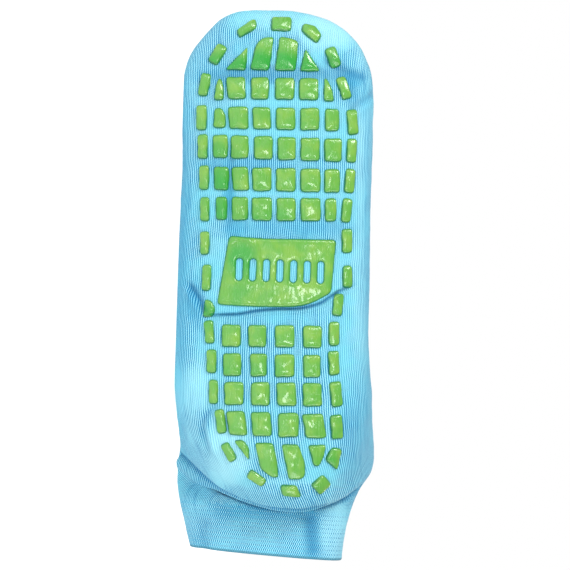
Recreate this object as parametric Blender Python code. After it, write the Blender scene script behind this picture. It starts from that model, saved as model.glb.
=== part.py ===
"""A knitted slipper sock with grip pads on its sole, lying on its side as on a floor.

The sock is drawn on its own plan, in millimetres: along runs from the heel tip to the toe,
across from the low side, which lies on the floor, to the high side, and rise from the sole
to the instep. In the scene the sole faces -Y, the toe points to -X and +Z is up.
"""

import math
from collections import namedtuple

import bmesh
import bpy
import numpy as np
from mathutils import Vector
from mathutils.bvhtree import BVHTree

MM = 0.001

# Driving sizes of the sock, in millimetres
FOOT_LENGTH = 252.3
BALL_WIDTH = 97.5
INSTEP_HEIGHT = 60.0
HEEL_HEIGHT = 30.0  # from the sole to the back of the leg, over the heel pocket
LEG_DEPTH = 30.0
LEG_REACH = 24.0  # how far the leg and cuff run past the heel tip
HEM_SLANT = 7.2  # how much further the hem reaches on its high side
WALL = 1.5

# How the sock lies, on the ball and the arch of its low side
FLOOR_SLOPE = 0.033  # the floor's rise towards the toe on the plan, taken out by a turn
FLOOR_DROP = 0.046 * BALL_WIDTH  # how far the floor lies below the plan at the heel tip
SETTLE = 0.5  # how deep the soft low side is pressed flat

# Driving sizes of the grip pads, in millimetres
PAD_THICKNESS = 1.2
PAD_GAP = 0.36  # between a pad and the sole, so that flat facets clear the round sole
PAD_CORNER = 1.8
PAD_BEVEL = 0.8
PAD_CROWN = 0.2  # how much higher a pad's middle stands than its rim
BORDER_ROOT = 0.7  # how deep the border pads are rooted in the wall
PANEL_CORNER = 2.2
SLOT_COUNT = 7
SLOT_LENGTH = 11.0
SLOT_WIDTH = 3.2
SLOT_PITCH = 6.8

# Fineness of the meshes
AROUND = 40
STATIONS = 36
CORNER_STEPS = 3
CORNER_LIMIT = 0.42  # the most that one rounded corner takes of an edge, as a share
PANEL_COLUMNS = 12
PANEL_ROWS = 6
SLOT_ARC_STEPS = 5
RAY_START = 0.2  # metres below the sole, where the rays that find it begin
SHARP_ANGLE = math.radians(50)

# A section is a line from the sole, heel or back of the leg (base) to the instep or front of
# the leg (top), with a round outline. low and high are its side edges, belly is the share of the
# line where it is widest, square and dome are the fullness of its lower and upper half, taper
# narrows it towards the base, skew moves the base to the high side, and slant tilts it.
COLUMNS = "top_along top_rise base_along base_rise low high belly square dome taper skew slant"
Section = namedtuple("Section", COLUMNS)

# Toe to instep: along as shares of FOOT_LENGTH, rises of INSTEP_HEIGHT, widths of BALL_WIDTH
FOOT_SECTIONS = [
    Section(1.000, 0.217, 1.000, 0.217, 0.462, 0.462, 0.50, 2.2, 2.1, 0, 0, 0),
    Section(0.997, 0.290, 0.997, 0.153, 0.328, 0.623, 0.50, 2.2, 2.1, 0, 0, 0),
    Section(0.983, 0.350, 0.983, 0.103, 0.231, 0.756, 0.48, 2.4, 2.1, 0, 0, 0),
    Section(0.962, 0.393, 0.962, 0.067, 0.172, 0.852, 0.45, 2.6, 2.2, 0, 0, 0),
    Section(0.935, 0.430, 0.935, 0.042, 0.110, 0.923, 0.42, 2.8, 2.2, 0, 0, 0),
    Section(0.907, 0.460, 0.907, 0.025, 0.062, 0.968, 0.40, 3.0, 2.2, 0, 0, 0),
    Section(0.873, 0.490, 0.873, 0.013, 0.034, 1.000, 0.38, 3.2, 2.2, 0, 0, 0),
    Section(0.833, 0.520, 0.833, 0.005, 0.020, 1.009, 0.38, 3.2, 2.2, 0, 0, 0),
    Section(0.766, 0.575, 0.766, 0.000, 0.021, 1.009, 0.38, 3.2, 2.2, 0, 0, 0),
    Section(0.686, 0.642, 0.686, 0.003, 0.024, 1.005, 0.38, 3.2, 2.2, 0, 0, 0),
    Section(0.598, 0.717, 0.598, 0.017, 0.013, 0.996, 0.38, 3.2, 2.2, 0, 0, 0),
    Section(0.510, 0.788, 0.510, 0.030, -0.002, 0.994, 0.38, 3.2, 2.2, 0, 0, 0),
    Section(0.427, 0.853, 0.427, 0.030, -0.012, 0.993, 0.38, 3.2, 2.2, 0, 0, 0),
    Section(0.367, 0.907, 0.343, 0.020, -0.018, 0.989, 0.38, 3.2, 2.2, 0, 0, 0),
    Section(0.323, 0.943, 0.263, 0.007, -0.023, 0.998, 0.39, 3.1, 2.2, 0, 0, 0),
]

# Round the heel pocket: as above, but base_rise as a share of HEEL_HEIGHT
HEEL_SECTIONS = [
    Section(0.287, 0.967, 0.187, 0.000, -0.017, 1.006, 0.42, 2.9, 2.2, 0.00, 0.000, 0),
    Section(0.255, 0.980, 0.123, 0.007, -0.010, 1.011, 0.45, 2.6, 2.2, 0.08, 0.010, 0),
    Section(0.229, 0.988, 0.072, 0.047, -0.002, 1.017, 0.50, 2.3, 2.2, 0.16, 0.030, 0),
    Section(0.207, 0.993, 0.035, 0.140, 0.002, 1.022, 0.55, 2.1, 2.2, 0.22, 0.050, 0),
    Section(0.187, 0.997, 0.009, 0.287, -0.002, 1.023, 0.58, 2.0, 2.3, 0.26, 0.075, 0),
    Section(0.167, 1.000, -0.004, 0.453, -0.009, 1.022, 0.58, 2.0, 2.3, 0.28, 0.090, 0),
    Section(0.150, 1.000, -0.005, 0.620, -0.013, 1.019, 0.58, 2.0, 2.3, 0.28, 0.090, 0),
    Section(0.132, 1.000, 0.003, 0.767, -0.015, 1.013, 0.56, 2.0, 2.4, 0.26, 0.085, 0),
    Section(0.104, 1.000, 0.018, 0.880, -0.016, 1.001, 0.54, 2.0, 2.4, 0.18, 0.060, 0),
    Section(0.072, 1.000, 0.017, 0.940, -0.016, 0.972, 0.52, 2.2, 2.5, 0.08, 0.020, 0),
]

# Leg and cuff: along as shares of LEG_REACH past the heel tip, base_rise of HEEL_HEIGHT,
# top_rise as a share of LEG_DEPTH above HEEL_HEIGHT
LEG_SECTIONS = [
    Section(-0.35, 1.0, 0.00, 0.967, -0.006, 0.925, 0.50, 2.4, 2.5, 0, 0, 0.2),
    Section(0.20, 1.0, 0.35, 0.983, 0.015, 0.887, 0.50, 2.5, 2.5, 0, 0, 0.5),
    Section(0.70, 1.0, 0.74, 1.000, 0.036, 0.863, 0.50, 2.6, 2.6, 0, 0, 0.8),
    Section(1.00, 1.0, 1.00, 1.000, 0.050, 0.855, 0.50, 2.6, 2.6, 0, 0, 1.0),
]

# The grip pads are drawn in plan units: 252.3 of them to the foot's length, 97.5 to its width.
PLAN_UNIT_ALONG = FOOT_LENGTH / 252.3
PLAN_UNIT_ACROSS = BALL_WIDTH / 97.5
MIDDLE_ACROSS = 48.75

# A row of rounded blocks: where it lies along, how long its blocks are, how far it falls back
# for each unit across, and for each block (its middle across, its width)
Row = namedtuple("Row", "name along long fall blocks")

FOREFOOT_ROWS = [
    Row("forefoot_1", 211.7, 11.0, 0.016, [(29.6, 9.2), (41.4, 8.9), (53.8, 9.5), (65.9, 9.6)]),
    Row("forefoot_2", 196.7, 11.0, 0.020,
        [(30.7, 9.7), (42.3, 9.0), (54.3, 9.5), (66.3, 9.5), (77.5, 7.0)]),
    Row("forefoot_3", 181.9, 11.4, 0.033,
        [(21.6, 7.4), (31.3, 8.8), (43.1, 9.4), (54.8, 9.1), (66.5, 9.5), (78.0, 8.7)]),
    Row("forefoot_4", 166.2, 11.6, 0.022,
        [(22.1, 7.4), (31.7, 8.2), (42.4, 9.5), (54.4, 9.8), (66.7, 9.9), (77.5, 7.8)]),
    Row("forefoot_5", 151.4, 11.5, 0.015,
        [(22.2, 5.6), (31.4, 8.0), (42.4, 9.9), (54.5, 9.5), (66.8, 10.0), (76.8, 5.6)]),
]

HEEL_ROWS = [
    Row("heel_1", 87.8, 11.0, 0.012, [(27.0, 9.5), (40.1, 8.9), (53.8, 9.7), (67.6, 9.3)]),
    Row("heel_2", 73.2, 11.2, 0.020, [(27.5, 9.0), (40.8, 8.3), (53.8, 9.8), (67.4, 8.6)]),
    Row("heel_3", 58.9, 11.5, 0.016, [(28.4, 9.7), (41.6, 9.2), (54.7, 9.5), (67.6, 9.4)]),
    Row("heel_4", 43.7, 12.0, 0.040, [(29.8, 9.2), (42.2, 9.6), (55.7, 10.2), (68.6, 10.4)]),
]

# Blocks cut to the round of the toe and heel, by their corners (along, across)
Block = namedtuple("Block", "name corners")

TOE_BLOCKS = [
    Block("toe_low_wedge", [(232.8, 35.3), (221.3, 24.0), (221.0, 34.3)]),
    Block("toe_low_quarter",
          [(237.8, 48.4), (237.5, 43.9), (235.2, 40.4), (231.3, 38.8), (221.2, 36.5), (220.9, 46.0)]),
    Block("toe_high_quarter",
          [(237.9, 51.4), (237.1, 56.8), (235.2, 60.6), (220.7, 59.3), (220.8, 48.9)]),
    Block("toe_high_wedge", [(231.8, 64.3), (220.5, 71.5), (220.5, 61.3)]),
    Block("forefoot_1_low_wedge", [(216.8, 21.8), (206.0, 18.8), (206.0, 23.2)]),
    Block("forefoot_1_high_wedge", [(216.2, 74.0), (205.3, 73.6), (205.3, 78.3)]),
    Block("forefoot_2_low_wedge",
          [(202.0, 18.8), (202.0, 22.3), (198.0, 24.2), (192.2, 24.4), (192.2, 17.9)]),
]

HEEL_BLOCKS = [
    Block("heel_5_low_wedge", [(35.7, 28.3), (35.9, 33.2), (32.0, 36.0), (25.6, 36.2)]),
    Block("heel_5_low_long",
          [(34.6, 38.9), (34.4, 48.0), (26.0, 49.8), (17.0, 50.8), (17.2, 47.2), (21.5, 41.8)]),
    Block("heel_5_high_long",
          [(33.8, 52.2), (33.7, 60.5), (24.5, 63.8), (18.0, 63.9), (16.3, 61.5), (16.3, 55.9)]),
    Block("heel_5_high_wedge", [(33.3, 65.8), (32.9, 74.4), (22.9, 69.5)]),
]

# Border pads that aren't rectangles, at the toe and heel
BORDER_BLOCKS = [
    Block("toe_low", [(240.9, 29.6), (246.4, 37.2), (246.6, 39.3), (242.3, 39.5), (237.0, 31.2)]),
    Block("toe_high", [(244.8, 63.5), (243.4, 69.0), (238.6, 72.6), (234.2, 69.8), (240.9, 62.0)]),
    Block("heel_high", [(32.1, 77.5), (31.0, 82.6), (20.2, 80.0), (26.0, 73.8)]),
    Block("heel_middle", [(13.6, 51.7), (12.9, 59.9), (7.1, 62.3), (7.8, 52.4)]),
]

# The other pads near the edge: middle, length, width and lean in degrees to the high side
Border = namedtuple("Border", "along across long wide lean")

BORDER_PADS = [
    Border(244.3, 52.2, 10.0, 7.2, 90), Border(229.0, 20.2, 10.5, 5.5, 30),
    Border(227.5, 78.0, 10.0, 5.5, -20), Border(213.8, 13.7, 11.5, 5.0, 10),
    Border(212.0, 83.4, 11.5, 5.0, -18), Border(197.3, 12.2, 12.5, 5.2, 0),
    Border(195.0, 87.7, 12.5, 5.4, -5), Border(182.8, 12.8, 12.0, 5.0, 0),
    Border(180.8, 87.3, 12.0, 5.0, 3), Border(167.3, 13.5, 12.2, 4.8, 0),
    Border(165.6, 86.4, 11.9, 5.0, 5), Border(151.5, 13.8, 12.0, 4.5, 0),
    Border(150.8, 84.8, 11.8, 5.0, 6), Border(134.5, 13.8, 11.5, 4.5, 0),
    Border(135.6, 85.0, 11.7, 5.2, 0), Border(117.1, 14.7, 13.0, 4.5, 2),
    Border(117.6, 85.2, 11.0, 4.8, 0), Border(101.6, 16.0, 9.0, 5.5, 0),
    Border(103.5, 80.5, 11.0, 5.0, 6), Border(90.0, 16.0, 11.2, 4.8, -4),
    Border(89.0, 78.5, 11.8, 5.2, 0), Border(75.3, 17.2, 11.5, 5.0, 0),
    Border(74.4, 78.4, 12.0, 5.4, -3), Border(60.0, 18.2, 12.0, 4.5, 0),
    Border(58.8, 79.5, 12.5, 5.8, 0), Border(45.3, 21.8, 12.0, 4.8, -8),
    Border(42.3, 79.8, 12.2, 6.0, -4), Border(29.8, 25.9, 10.0, 4.3, -28),
    Border(16.7, 39.7, 9.5, 4.6, -56), Border(13.2, 72.0, 8.0, 7.0, 50),
]

# The centre panel's toe edge and heel edge, from the low side to the high side
PANEL_TOE_EDGE = [(137.5, 26.0), (137.3, 44.0), (136.6, 62.0), (136.0, 79.8)]
PANEL_HEEL_EDGE = [(103.5, 20.0), (102.5, 39.0), (103.2, 60.0), (109.8, 77.0)]


def sections_in_mm(rows, along_size, base_size, top_size, top_from=0.0):
    """The rows with their shares turned into millimetres of the sizes given."""
    return [
        row._replace(
            top_along=row.top_along * along_size,
            base_along=row.base_along * along_size,
            top_rise=top_from + row.top_rise * top_size,
            base_rise=row.base_rise * base_size,
            low=row.low * BALL_WIDTH,
            high=row.high * BALL_WIDTH,
        )
        for row in rows
    ]


def all_sections():
    """Every section from the toe to the hem, in millimetres, as an array of rows."""
    rows = sections_in_mm(FOOT_SECTIONS, FOOT_LENGTH, INSTEP_HEIGHT, INSTEP_HEIGHT)
    rows += sections_in_mm(HEEL_SECTIONS, FOOT_LENGTH, HEEL_HEIGHT, INSTEP_HEIGHT)
    rows += sections_in_mm(LEG_SECTIONS, -LEG_REACH, HEEL_HEIGHT, LEG_DEPTH, HEEL_HEIGHT)
    return np.array(rows)


def smooth_point(points, place):
    """The point at a place between two points, on a smooth curve through all of them."""
    index = min(int(place), len(points) - 2)
    t = place - index
    before, start, end, after = (
        points[min(max(index + step, 0), len(points) - 1)] for step in (-1, 0, 1, 2)
    )
    return (
        2 * start
        + (end - before) * t
        + (2 * before - 5 * start + 4 * end - after) * t**2
        + (3 * start - before - 3 * end + after) * t**3
    ) / 2


def section_point(section, angle):
    """The plan point (along, across, rise) on a section's outline, 0 at its high side."""
    side, height = math.cos(angle), math.sin(angle)
    fullness = section.dome if height > 0 else section.square
    outward = math.copysign(abs(side) ** (2 / fullness), side)
    reach = abs(height) ** (2 / fullness)
    middle = (section.low + section.high) / 2
    half_width = (section.high - section.low) / 2
    if height > 0:
        share = section.belly + (1 - section.belly) * reach
    else:
        share = section.belly * (1 - reach)
        outward *= 1 - section.taper * reach
        middle += section.skew * reach * 2 * half_width
    along = section.base_along + (section.top_along - section.base_along) * share
    along -= section.slant * HEM_SLANT * outward / 2
    rise = section.base_rise + (section.top_rise - section.base_rise) * share
    return along, middle + half_width * outward, rise


def to_scene(along, across, rise):
    """A plan point in the scene, in metres, with the low side turned down onto the floor."""
    turn = math.atan(FLOOR_SLOPE)
    x = -along * math.cos(turn) - across * math.sin(turn)
    z = across * math.cos(turn) - along * math.sin(turn)
    return x * MM, rise * MM, (z + FLOOR_DROP - SETTLE) * MM


def outer_grid():
    """The outside of the sock as rings of points from the toe to the hem, settled on the floor."""
    rows = all_sections()
    places = np.linspace(0, len(rows) - 1, STATIONS)
    sections = [Section(*smooth_point(rows, place)) for place in places]
    angles = [2 * math.pi * step / AROUND for step in range(AROUND)]
    grid = np.array([
        [to_scene(*section_point(section, angle)) for angle in angles] for section in sections
    ])
    grid[:, :, 2] = np.maximum(grid[:, :, 2], 0)
    return grid


def inner_grid(outer):
    """The inside of the sock, one wall inward from the outside, and clear of the floor."""
    around = np.roll(outer, -1, axis=1) - np.roll(outer, 1, axis=1)
    onward = np.gradient(outer, axis=0)
    normals = np.cross(onward, around)
    normals[0] = np.mean(normals[1], axis=0)
    normals /= np.linalg.norm(normals, axis=2, keepdims=True)
    centres = outer.mean(axis=1, keepdims=True)
    middle_ring = len(outer) // 3
    outward = np.sum(normals[middle_ring] * (outer - centres)[middle_ring])
    inner = outer - normals * math.copysign(WALL * MM, outward)
    inner[:, :, 2] = np.maximum(inner[:, :, 2], WALL * MM)
    inner[-1, :, 0] = outer[-1, :, 0]
    return inner


def material(name, color, roughness):
    """A Principled material with one colour."""
    made = bpy.data.materials.new(name)
    made.use_nodes = True
    shader = made.node_tree.nodes["Principled BSDF"]
    shader.inputs["Base Color"].default_value = (*color, 1)
    shader.inputs["Roughness"].default_value = roughness
    shader.inputs["Metallic"].default_value = 0
    return made


def add_object(name, points, faces, finish, parent):
    """A closed mesh object with outward faces, shaded smooth, under the parent."""
    mesh = bpy.data.meshes.new(name)
    mesh.from_pydata(points, [], faces)
    shape = bmesh.new()
    shape.from_mesh(mesh)
    bmesh.ops.triangulate(shape, faces=[face for face in shape.faces if len(face.verts) > 4])
    bmesh.ops.recalc_face_normals(shape, faces=shape.faces)
    shape.to_mesh(mesh)
    shape.free()
    mesh.shade_smooth()
    mesh.set_sharp_from_angle(angle=SHARP_ANGLE)
    mesh.materials.append(finish)
    made = bpy.data.objects.new(name, mesh)
    bpy.context.scene.collection.objects.link(made)
    made.parent = parent
    return made


def tube_faces(first, pole, rings, around):
    """Faces of a tube closed at its pole, whose rings start at the vertex numbered first."""
    faces = []
    for step in range(around):
        faces.append((pole, first + step, first + (step + 1) % around))
    for ring in range(rings - 1):
        near, far = first + ring * around, first + (ring + 1) * around
        for step in range(around):
            after = (step + 1) % around
            corners = (near + step, near + after, far + after, far + step)
            faces += [corners[:3], (corners[0], corners[2], corners[3])]
    return faces


def make_sock(finish, parent):
    """The hollow knitted tube: foot, heel pocket, leg and cuff in one wall."""
    outer = outer_grid()
    inner = inner_grid(outer)
    points, faces, starts = [], [], []
    for grid in (outer, inner):
        starts.append(len(points))
        points.append(tuple(grid[0, 0]))
        points += [tuple(point) for ring in grid[1:] for point in ring]
        faces += tube_faces(starts[-1] + 1, starts[-1], STATIONS - 1, AROUND)
    hem = [start + 1 + (STATIONS - 2) * AROUND for start in starts]
    for step in range(AROUND):
        after = (step + 1) % AROUND
        faces.append((hem[0] + step, hem[0] + after, hem[1] + after, hem[1] + step))
    sole = BVHTree.FromPolygons([Vector(point) for point in points[:starts[1]]],
                                [face for face in faces if max(face) < starts[1]])
    return add_object("knitted_sock", points, faces, finish, parent), sole


def plan_to_scene(along, across):
    """Where a point of the pads' plan lies in the scene, as (x, z)."""
    x, _, z = to_scene(along * PLAN_UNIT_ALONG, across * PLAN_UNIT_ACROSS, 0)
    return x, z


def sole_at(sole, x, z):
    """The depth y of the sole's surface at (x, z)."""
    hit = sole.ray_cast(Vector((x, -RAY_START, z)), Vector((0, 1, 0)))[0]
    return hit.y


def block_corners(along, across, long, wide, lean=0.0):
    """Corners of a rectangle on the plan, its long side leaning to the high side by degrees."""
    turn = math.radians(lean)
    ahead = (math.cos(turn), math.sin(turn))
    aside = (-math.sin(turn), math.cos(turn))
    return [
        (along + a * long / 2 * ahead[0] + b * wide / 2 * aside[0],
         across + a * long / 2 * ahead[1] + b * wide / 2 * aside[1])
        for a, b in ((1, -1), (1, 1), (-1, 1), (-1, -1))
    ]


def rounded(corners):
    """The outline of (x, z) corners with each one rounded, as an array of points."""
    corners = np.array(corners)
    outline = []
    for number, corner in enumerate(corners):
        arc = []
        for other in (corners[number - 1], corners[(number + 1) % len(corners)]):
            share = PAD_CORNER * MM / np.linalg.norm(other - corner)
            arc.append(corner + (other - corner) * min(share, CORNER_LIMIT))
        for t in np.linspace(0, 1, CORNER_STEPS):
            outline.append((1 - t) ** 2 * arc[0] + 2 * t * (1 - t) * corner + t**2 * arc[1])
    return np.array(outline)


def add_pad(name, corners, sole, finish, parent, foot=PAD_GAP):
    """A low pad with a sloping rim and a crowned top, its base foot millimetres off the sole."""
    outline = rounded([plan_to_scene(*corner) for corner in corners])
    middle = outline.mean(axis=0)
    away = outline - middle
    inset = 1 - PAD_BEVEL * MM / np.linalg.norm(away, axis=1, keepdims=True)
    top = PAD_GAP + PAD_THICKNESS
    points = [(x, sole_at(sole, x, z) - foot * MM, z) for x, z in outline]
    points += [(x, sole_at(sole, x, z) - top * MM, z) for x, z in middle + away * inset]
    seat = sole_at(sole, *middle)
    points += [(middle[0], seat - lift * MM, middle[1]) for lift in (foot, top + PAD_CROWN)]
    count = len(outline)
    faces = []
    for step in range(count):
        after = (step + 1) % count
        faces.append((step, after, 2 * count))
        faces.append((count + step, count + after, 2 * count + 1))
        faces.append((step, after, count + after))
        faces.append((step, count + after, count + step))
    return add_object(name, points, faces, finish, parent)


def row_blocks(row):
    """The name and corners of each block in a row of the plan."""
    for number, (across, wide) in enumerate(row.blocks, 1):
        along = row.along - row.fall * (across - MIDDLE_ACROSS)
        yield f"{row.name}_{number}", block_corners(along, across, row.long, wide)


def add_grid_pads(sole, finish, parent):
    """The separate pads of forefoot and heel, one node each."""
    for row in FOREFOOT_ROWS + HEEL_ROWS:
        for name, corners in row_blocks(row):
            add_pad(f"pad_{name}", corners, sole, finish, parent)
    for block in TOE_BLOCKS + HEEL_BLOCKS:
        add_pad(f"pad_{block.name}", block.corners, sole, finish, parent)


def panel_plan(inset):
    """The panel's points by row and column in millimetres, drawn in from its edges by inset."""
    unit = (PLAN_UNIT_ALONG, PLAN_UNIT_ACROSS)
    places = np.linspace(0, len(PANEL_TOE_EDGE) - 1, PANEL_COLUMNS + 1)
    toe, heel = (
        [smooth_point(np.array(edge) * unit, place) for place in places]
        for edge in (PANEL_TOE_EDGE, PANEL_HEEL_EDGE)
    )
    across_share = 2 * inset / math.dist(toe[0], toe[-1])
    down_share = inset / math.dist(toe[0], heel[0])
    rows = []
    for down in np.linspace(down_share, 1 - down_share, PANEL_ROWS + 1):
        line = [a + (b - a) * down for a, b in zip(toe, heel)]
        middle = (line[0] + line[-1]) / 2
        rows.append([middle + (point - middle) * (1 - across_share) for point in line])
    pull = (PANEL_CORNER - inset) * (1 - math.sqrt(0.5))
    for row, next_row in ((0, 1), (-1, -2)):
        for column, next_column in ((0, 1), (-1, -2)):
            corner = rows[row][column]
            for beside in (rows[row][next_column], rows[next_row][column]):
                rows[row][column] = rows[row][column] + pull * (beside - corner) / math.dist(beside, corner)
    return rows


def panel_faces():
    """Triangles of the panel's base and top grids and of the rim between them."""
    columns, rows = PANEL_COLUMNS + 1, PANEL_ROWS + 1
    layer = columns * rows
    faces = []
    for row in range(PANEL_ROWS):
        for column in range(PANEL_COLUMNS):
            for start in (row * columns + column, row * columns + column + layer):
                faces.append((start, start + 1, start + columns + 1))
                faces.append((start, start + columns + 1, start + columns))
    rim = list(range(columns))
    rim += [row * columns + columns - 1 for row in range(1, rows)]
    rim += [(rows - 1) * columns + column for column in range(columns - 2, -1, -1)]
    rim += [row * columns for row in range(rows - 2, 0, -1)]
    for a, b in zip(rim, rim[1:] + rim[:1]):
        faces += [(a, b, b + layer), (a, b + layer, a + layer)]
    return faces


def add_panel(sole, finish, parent):
    """The large pad across the arch, with a row of plain slots that show the knit."""
    points = []
    for inset, lift in ((0, PAD_GAP), (PAD_BEVEL, PAD_GAP + PAD_THICKNESS)):
        for line in panel_plan(inset):
            for along, across in line:
                x, _, z = to_scene(along, across, 0)
                points.append((x, sole_at(sole, x, z) - lift * MM, z))
    panel = add_object("grip_panel", points, panel_faces(), finish, parent)
    for number in range(SLOT_COUNT):
        cutter = add_slot_cutter(number, finish, parent)
        cut = panel.modifiers.new(cutter.name, "BOOLEAN")
        cut.operation = "DIFFERENCE"
        cut.object = cutter


def slot_outline(number):
    """The corners of one round-ended slot on the plan, in a row along the panel's toe edge."""
    panel = np.array(panel_plan(0))
    aside = (panel[0, -1] - panel[0, 0]) / math.dist(panel[0, -1], panel[0, 0])
    ahead = np.array([aside[1], -aside[0]])
    middle = panel.mean(axis=(0, 1)) + aside * (number - (SLOT_COUNT - 1) / 2) * SLOT_PITCH
    radius = SLOT_WIDTH / 2
    outline = []
    for end in (0, math.pi):
        straight = math.copysign(SLOT_LENGTH / 2 - radius, math.cos(end))
        for turn in np.linspace(end - math.pi / 2, end + math.pi / 2, SLOT_ARC_STEPS):
            reach = straight + radius * math.cos(turn)
            outline.append(middle + ahead * reach + aside * radius * math.sin(turn))
    return outline


def add_slot_cutter(number, finish, parent):
    """A round-ended prism that cuts one slot through the panel."""
    outline = [to_scene(along, across, 0) for along, across in slot_outline(number)]
    depth = INSTEP_HEIGHT / 4 * MM
    points = [(x, y, z) for y in (-depth, depth) for x, _, z in outline]
    count = len(outline)
    faces = [tuple(range(count)), tuple(range(count, 2 * count))]
    faces += [(s, (s + 1) % count, (s + 1) % count + count, s + count) for s in range(count)]
    return as_guide(add_object(f"slot_{number + 1}", points, faces, finish, parent))


def as_guide(guide):
    """The same object, kept as a tool shape that isn't a piece of the sock."""
    guide.hide_render = True
    guide.display_type = "WIRE"
    return guide


def add_border_pads(sock, sole, finish, parent):
    """The ring of edge pads, raised from the sock's own wall by a union."""
    ring = bpy.data.collections.new("border_pads")
    pads = [block_corners(*pad) for pad in BORDER_PADS] + [block.corners for block in BORDER_BLOCKS]
    for number, corners in enumerate(pads, 1):
        guide = add_pad(f"border_{number}", corners, sole, finish, parent, -BORDER_ROOT)
        ring.objects.link(as_guide(guide))
    join = sock.modifiers.new("border_pads", "BOOLEAN")
    join.operation = "UNION"
    join.operand_type = "COLLECTION"
    join.collection = ring


def centre_on_floor(parent):
    """Moves the sock so that its box's bottom centre is at the origin."""
    shown = [made for made in bpy.data.objects if made.type == "MESH" and "slot" not in made.name]
    points = np.array([vertex.co for made in shown for vertex in made.data.vertices])
    low, high = points.min(axis=0), points.max(axis=0)
    parent.location = (-(low[0] + high[0]) / 2, -(low[1] + high[1]) / 2, 0)


def main():
    for old in list(bpy.data.objects):
        bpy.data.objects.remove(old, do_unlink=True)
    frame = bpy.data.objects.new("sock_frame", None)
    bpy.context.scene.collection.objects.link(frame)
    knit = material("sky_blue_knit", (0.18, 0.60, 0.83), 0.9)
    grip = material("green_grip", (0.13, 0.52, 0.07), 0.3)
    sock, sole = make_sock(knit, frame)
    add_grid_pads(sole, grip, frame)
    add_panel(sole, grip, frame)
    add_border_pads(sock, sole, grip, frame)
    centre_on_floor(frame)


main()
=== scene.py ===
"""The looks of a knitted slipper sock with grip pads, lying on its side on a pale floor.

Its plan is in millimetres: along runs from the heel tip to the toe, across from the low side,
which lies on the floor, to the high side, and rise from the sole to the instep. In the scene
the sole faces -Y, the toe points to -X and +Z is up.
"""

import math
from collections import namedtuple

import bpy
import numpy as np
from mathutils import Matrix, Vector, noise
from mathutils.bvhtree import BVHTree
from numpy.linalg import norm


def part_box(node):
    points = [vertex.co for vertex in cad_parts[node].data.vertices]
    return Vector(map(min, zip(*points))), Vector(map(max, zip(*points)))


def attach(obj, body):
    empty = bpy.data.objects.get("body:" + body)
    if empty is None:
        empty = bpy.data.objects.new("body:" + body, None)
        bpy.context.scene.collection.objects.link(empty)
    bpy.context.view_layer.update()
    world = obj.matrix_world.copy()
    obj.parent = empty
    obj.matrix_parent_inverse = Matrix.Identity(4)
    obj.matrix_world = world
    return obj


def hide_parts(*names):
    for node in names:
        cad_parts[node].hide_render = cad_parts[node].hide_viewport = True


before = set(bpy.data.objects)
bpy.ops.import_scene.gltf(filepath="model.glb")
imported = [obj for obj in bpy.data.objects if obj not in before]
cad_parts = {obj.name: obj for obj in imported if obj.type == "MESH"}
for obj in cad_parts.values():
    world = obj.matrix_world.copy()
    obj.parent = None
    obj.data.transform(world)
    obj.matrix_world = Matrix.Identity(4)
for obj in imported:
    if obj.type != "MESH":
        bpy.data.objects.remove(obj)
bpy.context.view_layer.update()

MM = 0.001
RAY_START = -0.2  # in front of the sole, in metres

# Sizes of the sock in millimetres
FOOT_LENGTH = 252.3
BALL_WIDTH = 97.5
INSTEP_HEIGHT = 60.0
HEEL_HEIGHT = 30.0
LEG_DEPTH = 30.0
LEG_REACH = 24.0
HEM_SLANT = 7.2
WALL = 1.5

# How the sock lies
FLOOR_SLOPE = 0.033
FLOOR_DROP = 0.046 * BALL_WIDTH
SETTLE = 0.5

# Sizes of the knit in millimetres
WALE_COUNT = 230
FINEST_WALE = 0.82  # the wales narrow no further than this towards the toe, as a share
CUFF_REACH = 24.0  # how far the bird's-eye cuff runs up from the hem
PRESS_DEPTH = 0.3  # how far the printed pads pull the knit in along their rims
PRESS_WIDTH = 1.3
FOLD_ROOM = 1.2  # how much deeper than the wall the inside lies, away from the hem
CREASE_SHADE_FULL = 2.3  # a trough so deep gets the darkest painted shade
FOLD_FADE = 0.2  # the share of a fold's line over which it fades at each end
FOLD_START = 0.15  # how far it has risen at its very end
TOP_STRIPES = 0.3  # how much the columns stand out on the upper face

# Slack waves of the knit: their height and size in millimetres, how much closer they lie
# upward, and a seed
SLACK_WAVES = ((0.45, 22, 1, 3.1), (0.18, 7, 1, 8.4), (0.09, 3, 2.2, 5.7))

# Sizes of the grip pads in millimetres
PAD_THICKNESS = 1.2
PAD_CROWN = 0.35  # how much higher a pad's middle stands than its shoulder
PAD_SHOULDER = 1.15  # how wide the rounded rim is
PAD_ROOT = 0.5  # how deep the rim is sunk in the knit
PAD_CORNER = 1.8
PAD_SPREAD = 0.22  # how much wider the soft pad lies than its plan, on each side
PAD_EDGE_STEP = 1.1
PAD_DEPTHS = (0.0, 0.06, 0.2, 0.42, 0.72, 1.1, 1.6)  # how far in from the rim its rings lie
DEEPEST_RIM_RING = 0.75  # at most so far in, as a share of the pad's narrow half
PAD_SHARES = (0.8, 0.6, 0.4, 0.2)  # the rings further in, as shares of the last of those
PAD_WAVER = 0.32  # how far the rim wavers
PAD_WAVER_SIZE = 4
PAD_LUMP = 0.22
PAD_LUMP_SIZE = 3.4
RIM_WIDTH = 0.75  # how far in the darker rim, partly painted shade, reaches
RIM_SHADE = 0.62  # how dark the rim is, partly from the knit showing through and partly painted shade, and how much that painted shade swings to the low heel side
RIM_SHADE_SWING = 0.38
PAD_SHADING = 0.3  # how much deeper the painted shade's green is at a pad's low heel corner
PANEL_CELL = 0.45  # how fine its mesh is
PANEL_MARGIN = 1.5  # how many cells reach past its edge
PANEL_ROOT = 1.3
PANEL_CORNER = 2.6
PANEL_CROWN = 0.15  # how much higher its middle stands than its shoulder
PANEL_LUMP = 0.2
PANEL_LUMP_SIZE = 6.5
PANEL_RISE = 2.5  # how far in from the rim the crown is full
PANEL_DIP = 1.6  # how steeply its edge runs down into the knit
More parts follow.
